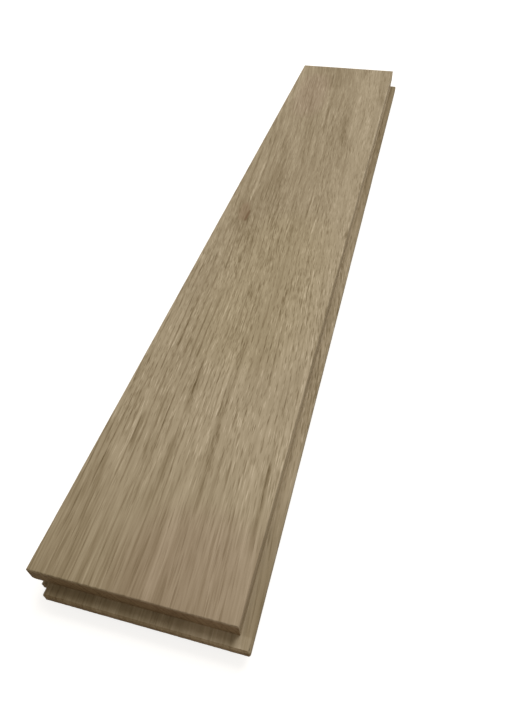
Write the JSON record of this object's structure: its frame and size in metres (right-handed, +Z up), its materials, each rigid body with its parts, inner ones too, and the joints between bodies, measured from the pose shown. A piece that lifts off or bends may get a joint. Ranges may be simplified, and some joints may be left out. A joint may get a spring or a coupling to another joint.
{
  "type": "parquet block",
  "caption": "Solid oak herringbone parquet block, with a tongue along one long side and one end and a matching groove along the opposite side and end.",
  "frame": {"origin": "on the underside, directly below the middle of the wear face", "axes": "+Z up out of the wear face, +Y along the grain towards the groove end, +X across the grain towards the tongue side"},
  "size_m": [0.0742, 0.4242, 0.015],
  "materials": {
    "oak": "raw, planed, unfinished"
  },
  "bodies": {
    "root": {"parquet_block": "oak"}
  },
  "joints": []
}
